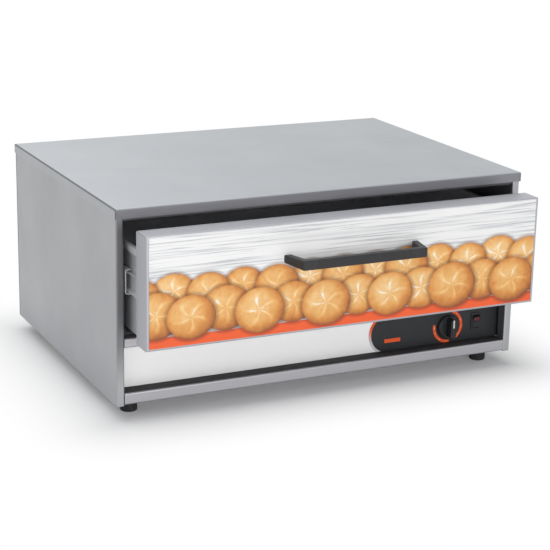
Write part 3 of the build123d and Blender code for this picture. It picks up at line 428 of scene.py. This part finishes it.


# Signal lens: ribbed translucent red, the ribs with painted highlight and shade
def signalLens(name, look):
    material, tree, shader, place = startMaterial(name)
    height = axes(tree, place)["Z"]
    ribs = calc(tree, "SINE", calc(tree, "MULTIPLY", height, 2 * math.pi / look["pitch"]))
    speck = cloud(tree, place, look["speck"], 2.0, 0.5)
    # ribs painted lighter and darker, a painted highlight and shade, with random specks
    ribHighlightAndSpeck = calc(tree, "MULTIPLY_ADD", ribs, look["ribShare"], speck)
    red = tint(tree, remap(tree, ribHighlightAndSpeck, 0.2, 0.8, 0.0, 1.0), look["deep"], look["lit"])
    feed(tree, red, shader.inputs["Base Color"])
    shader.inputs["Roughness"].default_value = look["rough"]
    shader.inputs["Transmission Weight"].default_value = look["clear"]
    shader.inputs["Subsurface Weight"].default_value = look["milky"]
    shader.inputs["Subsurface Scale"].default_value = look["depth"]
    relief(tree, shader, ribs, look["relief"], look["reliefDepth"])
    return material


lensLook = {
    "pitch": 0.0011,  # between ribs
    "ribShare": 0.25,
    "speck": 700.0,
    "deep": shade(92, 32, 38),
    "lit": shade(150, 52, 60),
    "rough": 0.22,
    "clear": 0.25,
    "milky": 0.2,
    "depth": 0.001,
    "relief": 0.4,
    "reliefDepth": 0.0002,
}
finishes["lens_red"] = signalLens("signalLens", lensLook)
print("lens finish made")

# Black control field with its printed border, dial scale and bar
overlayLow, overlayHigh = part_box("control_overlay")
knobLow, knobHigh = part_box("knob")
dialX, dialZ = (knobLow.x + knobHigh.x) / 2, (knobLow.z + knobHigh.z) / 2
overlayLook = {
    "field": shade(37, 40, 43),
    "smear": shade(50, 53, 57),
    "smearScale": 30.0,
    "sparkScale": 1500.0,
    "shiniest": 0.42,
    "dullest": 0.55,
    "orange": shade(236, 92, 40),
    "grey": shade(206, 204, 206),
    "endRadius": 0.0335,
    "border": 0.0042,  # width of the arc at the left end
    "borderEdge": 0.0004,
    "ringRadius": 0.0243,
    "ringWidth": 0.0046,
    "ringEdge": 0.0002,
    "ringArcs": [(18.0, 142.0), (172.0, 280.0)],  # degrees clockwise from the top
    "barLeft": 0.1155,
    "barRight": 0.1434,
    "barLow": 0.0532,
    "barHigh": 0.0592,
    "gloss": 0.3,
    "relief": 0.15,
    "reliefDepth": 0.0003,
}


def controlField(name, look):
    material, tree, shader, place = startMaterial(name)
    spot = axes(tree, place)
    x, z = spot["X"], spot["Z"]
    radius = look["endRadius"]

    def fromCentre(centreX, centreZ):
        across, upward = calc(tree, "SUBTRACT", x, centreX), calc(tree, "SUBTRACT", z, centreZ)
        return calc(tree, "SQRT", squareSum(tree, across, upward)), across, upward

    spark = cloud(tree, place, look["sparkScale"], 3.0, 0.6)
    smear = cloud(tree, place, look["smearScale"], 4.0, 0.6)
    paint = tint(tree, remap(tree, smear, 0.4, 0.75, 0.0, 0.3), look["field"], look["smear"])

    # border arc, orange at the top and fading to grey below
    away, across, upward = fromCentre(overlayLow.x + radius, overlayHigh.z - radius)
    inner = radius - look["border"]
    border = remap(tree, away, inner, inner + look["borderEdge"], 0, 1)
    border = calc(tree, "MULTIPLY", border, calc(tree, "LESS_THAN", across, 0.0))
    rise = remap(tree, upward, -0.4 * radius, 0.35 * radius, 0, 1, True)
    paint = tint(tree, border, paint, tint(tree, rise, look["grey"], look["orange"]))

    # dial scale in two arcs
    away, across, upward = fromCentre(dialX, dialZ)
    half, edge = look["ringWidth"] / 2, look["ringEdge"]
    offRing = calc(tree, "ABSOLUTE", calc(tree, "SUBTRACT", away, look["ringRadius"]))
    ring = remap(tree, offRing, half - edge, half + edge, 1, 0)
    turn = calc(tree, "DIVIDE", calc(tree, "ARCTAN2", across, upward), 2 * math.pi)
    turn = calc(tree, "FRACT", calc(tree, "ADD", turn, 1.0))
    inside = 0.0
    for start, end in look["ringArcs"]:
        inside = calc(tree, "ADD", within(tree, turn, start / 360, end / 360), inside)
    paint = tint(tree, calc(tree, "MULTIPLY", ring, inside), paint, look["orange"])

    # small bar at the lower left
    inWidth = within(tree, x, look["barLeft"], look["barRight"])
    inHeight = within(tree, z, look["barLow"], look["barHigh"])
    paint = tint(tree, calc(tree, "MULTIPLY", inWidth, inHeight), paint, look["orange"])

    feed(tree, paint, shader.inputs["Base Color"])
    feed(tree, spread(tree, spark, look["shiniest"], look["dullest"]), shader.inputs["Roughness"])
    shader.inputs["Specular IOR Level"].default_value = look["gloss"]
    relief(tree, shader, spark, look["relief"], look["reliefDepth"])
    return material


finishes["overlay_black"] = controlField("controlField", overlayLook)
print("control field printed")


# White control panel: baked enamel with a faint orange peel, and a painted dark strip of shade beside the
# black field
def enamel(name, look):
    material, tree, shader, place = startMaterial(name)
    peel = cloud(tree, place, look["peel"], 2.0, 0.5)
    dust = cloud(tree, place, look["dustScale"], 4.0, 0.6)
    coat = tint(tree, remap(tree, dust, 0.5, 0.8, 0.0, 0.25), look["colour"], look["dust"])
    x = axes(tree, place)["X"]
    # painted shade: dark from the black field's right edge onwards
    slitShade = remap(tree, x, look["slitShadeFrom"], look["slitShadeFrom"] + look["slitShadeEdge"], 0, 1)
    feed(tree, tint(tree, slitShade, coat, look["dark"]), shader.inputs["Base Color"])
    rough = spread(tree, dust, look["rough"] - look["shinier"], look["rough"] + look["duller"])
    feed(tree, rough, shader.inputs["Roughness"])
    shader.inputs["Coat Weight"].default_value = look["coat"]
    shader.inputs["Coat Roughness"].default_value = look["coatRough"]
    relief(tree, shader, peel, look["relief"], look["reliefDepth"])
    return material


panelLook = {
    "colour": shade(252, 252, 252),
    "dust": shade(240, 240, 238),
    "dustScale": 14.0,
    "peel": 500.0,
    "rough": 0.32,
    "shinier": 0.05,
    "duller": 0.08,
    "coat": 0.3,
    "coatRough": 0.15,
    "relief": 0.1,
    "reliefDepth": 0.0003,
    "dark": overlayLook["field"],
    "slitShadeFrom": overlayHigh.x - 0.0006,  # painted shade in the slit beside the black field
    "slitShadeEdge": 0.0004,
}
finishes["panel_white"] = enamel("panelEnamel", panelLook)
print("panel enamelled")

# Drawer front print: bread rolls on pale planks over a warm band
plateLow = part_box("front_print_plate")[0]
printLook = {
    "pitch": 0.104,  # between rolls of one row
    # height of the middle, half width, half height, sideways shift in pitches
    "rows": [
        (0.079, 0.033, 0.027, 0.13),
        (0.074, 0.034, 0.029, 0.63),
        (0.044, 0.037, 0.032, 0.38),
        (0.040, 0.038, 0.033, 0.88),
    ],
    "smallest": 0.93,
    "largest": 1.06,
    "heightPlay": 0.003,
    "scores": 5.0,  # cuts on a roll
    "scoreCurl": 3.0,
    "scoreTurn": 6.0,  # how far the cuts turn from roll to roll, in radians
    "scoreLight": 0.16,
    "domeLight": 0.62,
    "topLight": 0.16,
    "leftLight": 0.14,
    "least": 0.02,
    "flourScale": 90.0,
    "filmScale": 22.0,
    "skinScale": 900.0,
    "rowSeed": 17.3,
    "plank": 0.0262,
    "band": 0.0150,
    "paint": shade(244, 244, 244),
    "grain": shade(190, 193, 197),
    "grainRun": (7, 7, 430),
    "streakRun": (1.6, 1.6, 110),
    "joint": shade(202, 204, 208),
    "orange": shade(240, 92, 28),
    "shadow": shade(120, 72, 40),
    "coat": 0.25,
    "coatRough": 0.2,
    "relief": 0.06,
    "reliefDepth": 0.0003,
    "crust": [
        (0.00, shade(118, 62, 26)),
        (0.22, shade(176, 100, 38)),
        (0.48, shade(216, 142, 62)),
        (0.70, shade(236, 178, 102)),
        (0.90, shade(248, 208, 146)),
        (1.00, shade(255, 255, 255)),  # white just under full light
        (1.00, shade(255, 230, 184)),  # and pale crust in full light
    ],
}


def crustColour(tree, light, stops):
    ramp = tree.nodes.new("ShaderNodeValToRGB")
    elements = ramp.color_ramp.elements
    elements.remove(elements[-1])
    elements[0].position, elements[0].color = stops[0]
    for position, colour in stops[1:]:
        elements.new(position).color = colour
    tree.links.new(light, ramp.inputs["Fac"])
    return ramp.outputs["Color"]


def breadPrint(name, look):
    material, tree, shader, place = startMaterial(name)
    spot = axes(tree, place)
    x, z = spot["X"], spot["Z"]
    level = calc(tree, "SUBTRACT", z, plateLow.z)

    # painted planks: long grain, darker joints
    grain = cloud(tree, stretched(tree, place, look["grainRun"]), 1.0, 3.0, 0.5, 0.5)
    streak = cloud(tree, stretched(tree, place, look["streakRun"]), 1.0, 3.0, 0.5)
    paint = tint(tree, remap(tree, grain, 0.50, 0.66, 0.0, 1.0), look["paint"], look["grain"])
    paint = tint(tree, remap(tree, streak, 0.55, 0.75, 0.0, 0.4), paint, look["grain"])
    board = calc(tree, "FRACT", calc(tree, "DIVIDE", level, look["plank"]))
    joint = remap(tree, calc(tree, "PINGPONG", board, 0.5), 0.0, 0.045, 0.75, 0.0)
    paint = tint(tree, joint, paint, look["joint"])

    # warm band along the lower edge
    paint = tint(tree, calc(tree, "LESS_THAN", level, look["band"]), paint, look["orange"])

    flour = cloud(tree, place, look["flourScale"], 4.0, 0.6)
    for index, (height, halfWidth, halfHeight, shift) in enumerate(look["rows"]):
        along = calc(tree, "ADD", calc(tree, "DIVIDE", x, look["pitch"]), shift)
        cell = calc(tree, "FLOOR", along)
        chance = tree.nodes.new("ShaderNodeTexWhiteNoise")
        chance.noise_dimensions = "1D"
        tree.links.new(calc(tree, "ADD", cell, look["rowSeed"] * index), chance.inputs["W"])
        odd = axes(tree, chance.outputs["Color"])

        # place of the point in its roll, from -1 to 1, each roll with its own size and height
        size = remap(tree, odd[0], 0, 1, look["smallest"], look["largest"])
        wide = calc(tree, "MULTIPLY", size, halfWidth / look["pitch"])
        across = calc(tree, "DIVIDE", calc(tree, "SUBTRACT", calc(tree, "FRACT", along), 0.5), wide)
        centre = remap(tree, odd[1], 0, 1, height - look["heightPlay"], height + look["heightPlay"])
        tall = calc(tree, "MULTIPLY", size, halfHeight)
        upward = calc(tree, "DIVIDE", calc(tree, "SUBTRACT", level, centre), tall)
        square = squareSum(tree, across, upward)

        # soft shadow on what lies behind
        shadow = remap(tree, square, 1.0, 1.45, 0.55, 0.0, True)
        paint = tint(tree, shadow, paint, look["shadow"], "MULTIPLY")

        # light on the dome, from above and a little from the left, with flour and its own bake
        dome = calc(tree, "SQRT", calc(tree, "MAXIMUM", calc(tree, "SUBTRACT", 1.0, square), 0.0))
        light = calc(tree, "MULTIPLY_ADD", dome, look["domeLight"], look["least"])
        light = calc(tree, "MULTIPLY_ADD", upward, look["topLight"], light)
        light = calc(tree, "MULTIPLY_ADD", across, -look["leftLight"], light)
        light = calc(tree, "ADD", light, spread(tree, flour, 0.02, 0.20))
        light = calc(tree, "ADD", light, remap(tree, odd[2], 0, 1, -0.05, 0.09))

        # curved scores
        start = calc(tree, "MULTIPLY", odd[2], look["scoreTurn"])
        curl = calc(tree, "MULTIPLY_ADD", square, look["scoreCurl"], start)
        spin = calc(tree, "MULTIPLY_ADD", calc(tree, "ARCTAN2", upward, across), look["scores"], curl)
        score = remap(tree, calc(tree, "SINE", spin), 0.55, 1.0, 0.0, 1.0, True)
        score = calc(tree, "MULTIPLY", score, remap(tree, square, 0.12, 0.8, 1.0, 0.0, True))
        light = calc(tree, "MULTIPLY_ADD", score, look["scoreLight"], light)
        roll = remap(tree, square, 0.97, 1.03, 1.0, 0.0)
        paint = tint(tree, roll, paint, crustColour(tree, light, look["crust"]))

    feed(tree, paint, shader.inputs["Base Color"])
    film = cloud(tree, place, look["filmScale"], 3.0, 0.5)
    feed(tree, spread(tree, film, 0.34, 0.46), shader.inputs["Roughness"])
    shader.inputs["Coat Weight"].default_value = look["coat"]
    shader.inputs["Coat Roughness"].default_value = look["coatRough"]
    skin = cloud(tree, place, look["skinScale"], 2.0, 0.5)
    relief(tree, shader, skin, look["relief"], look["reliefDepth"])
    return material


finishes["print_plate"] = breadPrint("drawerPrint", printLook)
print("drawer front printed")

for part in frame["record"]["subparts"]:
    mesh = nodes[part["node"]].data
    mesh.materials.clear()
    mesh.materials.append(finishes[part["material_slot"]])
# the header rail takes the dark steel of painted shade
nodes["header_rail"].data.materials[0] = headerShadeFinish
print("finishes assigned to", len(nodes), "nodes")


# Small pieces of the model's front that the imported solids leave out
smoothBelow = math.radians(35)


def finishPiece(piece, name, body, finish):
    piece.name = piece.data.name = name
    piece.data.materials.clear()
    piece.data.materials.append(finish)
    bpy.ops.object.transform_apply(location=True, rotation=True, scale=True)
    bpy.ops.object.shade_smooth_by_angle(angle=smoothBelow)
    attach(piece, body)
    piece.select_set(False)


panLow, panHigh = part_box("bottom_pan")
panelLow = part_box("control_panel")[0]
# thin dark sheet on the ledge in front of the panel: painted shade
padLook = {
    "thick": 0.0004,
    "frontPlay": 0.0022,  # free edge in front, then behind and at the sides
    "rearPlay": 0.0003,
    "sidePlay": 0.0006,
    "edge": 0.00012,
    "shadeSheet": {
        **plasticLook,
        "colour": shade(68, 67, 68),
        "worn": shade(92, 90, 90),
        "rough": 0.75,
        "gloss": 0.1,
    },
}


def ledgeShadePad():
    low = (panLow.x + padLook["sidePlay"], panLow.y + padLook["frontPlay"], panHigh.z)
    high = (panHigh.x - padLook["sidePlay"], panelLow.y - padLook["rearPlay"], panHigh.z + padLook["thick"])
    bpy.ops.object.select_all(action="DESELECT")
    middle = [(a + b) / 2 for a, b in zip(low, high)]
    size = [b - a for a, b in zip(low, high)]
    bpy.ops.mesh.primitive_cube_add(size=1, location=middle, scale=size)
    pad = bpy.context.object
    bpy.ops.object.mode_set(mode="EDIT")
    bpy.ops.mesh.bevel(offset=padLook["edge"], segments=2)
    bpy.ops.object.mode_set(mode="OBJECT")
    return pad


finishPiece(ledgeShadePad(), "ledgeShadePad", "cabinet", moulded("ledgeShadeSheet", padLook["shadeSheet"]))

screwLook = {
    "places": (-0.102, 0.094),
    "setback": 0.0065,  # behind the rail's front
    "radius": 0.0042,
    "drop": 0.0021,
    "sides": 28,
    "round": 0.55,  # share of the drop that is rounded
    "rim": 0.28,  # share of the radius outside the socket
    "socket": 0.0007,
}


def railScrew(x):
    drop = screwLook["drop"]
    bpy.ops.object.select_all(action="DESELECT")
    bpy.ops.mesh.primitive_cylinder_add(
        vertices=screwLook["sides"],
        radius=screwLook["radius"],
        depth=drop,
        location=(x, panLow.y + screwLook["setback"], panLow.z - drop / 2),
    )
    screw = bpy.context.object
    bpy.ops.object.mode_set(mode="EDIT")
    bpy.ops.mesh.select_mode(type="FACE")
    bpy.ops.mesh.select_all(action="DESELECT")
    bpy.ops.object.mode_set(mode="OBJECT")
    for face in screw.data.polygons:
        face.select = face.normal.z < -0.9
    bpy.ops.object.mode_set(mode="EDIT")
    bpy.ops.mesh.bevel(offset=drop * screwLook["round"], segments=4)  # rounds the head downwards
    bpy.ops.object.mode_set(mode="OBJECT")
    lowest = min(v.co.z for v in screw.data.vertices)
    for face in screw.data.polygons:
        face.select = face.normal.z < -0.99 and face.center.z < lowest + 1e-5
    bpy.ops.object.mode_set(mode="EDIT")
    bpy.ops.mesh.inset(thickness=screwLook["radius"] * screwLook["rim"])
    bpy.ops.mesh.extrude_region_move(TRANSFORM_OT_translate={"value": (0, 0, screwLook["socket"])})
    bpy.ops.object.mode_set(mode="OBJECT")
    return screw


for number, x in enumerate(screwLook["places"]):
    finishPiece(railScrew(x), f"railScrew{number + 1}", "cabinet", finishes["screw_steel"])

numberLook = {
    "height": 0.0036,
    "lift": 0.00004,  # in front of the field
    "places": [38, 68, 98, 128, 186, 216, 246, 268],  # degrees clockwise from the top
}


def dialNumbers():
    digits = []
    for number, degrees in enumerate(numberLook["places"]):
        angle = math.radians(degrees)
        bpy.ops.object.select_all(action="DESELECT")
        bpy.ops.object.text_add(
            location=(
                dialX + math.sin(angle) * overlayLook["ringRadius"],
                overlayLow.y - numberLook["lift"],
                dialZ + math.cos(angle) * overlayLook["ringRadius"],
            ),
            rotation=(math.radians(90), 0, 0),
        )
        text = bpy.context.object
        text.data.body = str(number + 1)
        text.data.size = numberLook["height"]
        text.data.align_x, text.data.align_y = "CENTER", "CENTER"
        bpy.ops.object.convert(target="MESH")
        digits.append(bpy.context.object)
    for digit in digits:
        digit.select_set(True)
    bpy.context.view_layer.objects.active = digits[0]
    bpy.ops.object.join()
    return bpy.context.object


finishPiece(dialNumbers(), "dialNumbers", "cabinet", finishes["pointer_white"])
print("ledge pad, rail screws and dial numbers made")


# Floor, backdrop and light
def softLight(name, place, target, size, power):
    lamp = bpy.data.lights.new(name, "AREA")
    lamp.shape = "SQUARE"
    lamp.size = size
    lamp.energy = power
    holder = bpy.data.objects.new(name, lamp)
    bpy.context.collection.objects.link(holder)
    holder.location = place
    holder.rotation_euler = (Vector(target) - Vector(place)).to_track_quat("-Z", "Y").to_euler()


def inSight(tree):
    # 1 for what is seen, also in metal and through the lens, and 0 for what lights the object
    path = tree.nodes.new("ShaderNodeLightPath").outputs
    seen = calc(tree, "ADD", path["Is Glossy Ray"], path["Is Transmission Ray"])
    return calc(tree, "MINIMUM", calc(tree, "ADD", path["Is Camera Ray"], seen), 1.0)


studio = {
    # place, aim, width, watts
    "keyLight": ((-1.9, -1.2, 2.0), (0.0, 0.0, 0.15), 2.2, 12.0),
    "fillLight": ((-0.2, -3.0, 0.25), (0.0, -0.1, 0.07), 1.4, 48.0),
    "overLight": ((-0.5, 1.2, 2.5), (0.0, -0.3, 0.1), 3.0, 34.0),
    "air": 0.36,  # level of the room on the object
}
for lampName in ("keyLight", "fillLight", "overLight"):
    softLight(lampName, *studio[lampName])

world = bpy.data.worlds.new("room")
bpy.context.scene.world = world
world.use_nodes = True
tree = world.node_tree
air = tree.nodes["Background"]
air.inputs["Color"].default_value = (1, 1, 1, 1)
feed(tree, remap(tree, inSight(tree), 0, 1, studio["air"], 1.0), air.inputs["Strength"])

floorLook = {
    "size": 40,
    "paper": shade(249, 250, 251),
    "fibre": shade(236, 237, 239),
    "fibreScale": 60.0,
    "fibreShare": 0.12,
    "rough": 0.9,
    "gloss": 0.1,
    "near": 0.09,  # share of plain white in view beside the cabinet
    "clear": 0.165,  # distance from the cabinet at which the floor is plain white
}


def floorPaper(name, look):
    material, tree, shader, place = startMaterial(name)
    spot = axes(tree, place)
    x, y = spot["X"], spot["Y"]
    fibre = cloud(tree, place, look["fibreScale"], 3.0, 0.5)
    paper = tint(tree, spread(tree, fibre, 0.0, look["fibreShare"]), look["paper"], look["fibre"])
    feed(tree, paper, shader.inputs["Base Color"])
    shader.inputs["Roughness"].default_value = look["rough"]
    shader.inputs["Specular IOR Level"].default_value = look["gloss"]

    # distance outside the cabinet's walls
    middleY, halfY = (coverLow.y + coverHigh.y) / 2, (coverHigh.y - coverLow.y) / 2
    sideways = calc(tree, "SUBTRACT", calc(tree, "ABSOLUTE", x), coverHigh.x)
    forwards = calc(tree, "SUBTRACT", calc(tree, "ABSOLUTE", calc(tree, "SUBTRACT", y, middleY)), halfY)
    sideways, forwards = calc(tree, "MAXIMUM", sideways, 0.0), calc(tree, "MAXIMUM", forwards, 0.0)
    away = calc(tree, "SQRT", squareSum(tree, sideways, forwards))

    # plain white in view, rising from the contact shadow outwards
    close = calc(tree, "POWER", remap(tree, away, 0.0, look["clear"], 1.0, 0.0), 2.0)
    share = remap(tree, close, 1.0, 0.0, look["near"], 1.0)
    white = tree.nodes.new("ShaderNodeEmission")
    white.inputs["Color"].default_value = (1, 1, 1, 1)
    white.inputs["Strength"].default_value = 1.0
    mixed = tree.nodes.new("ShaderNodeMixShader")
    feed(tree, calc(tree, "MULTIPLY", inSight(tree), share), mixed.inputs[0])
    tree.links.new(shader.outputs["BSDF"], mixed.inputs[1])
    tree.links.new(white.outputs["Emission"], mixed.inputs[2])
    tree.links.new(mixed.outputs["Shader"], tree.nodes["Material Output"].inputs["Surface"])
    return material


bpy.ops.mesh.primitive_plane_add(size=floorLook["size"], location=(0, 0, 0))
floor = bpy.context.object
floor.name = "studioFloor"
floor.data.materials.append(floorPaper("floorPaper", floorLook))
print("studio lit")
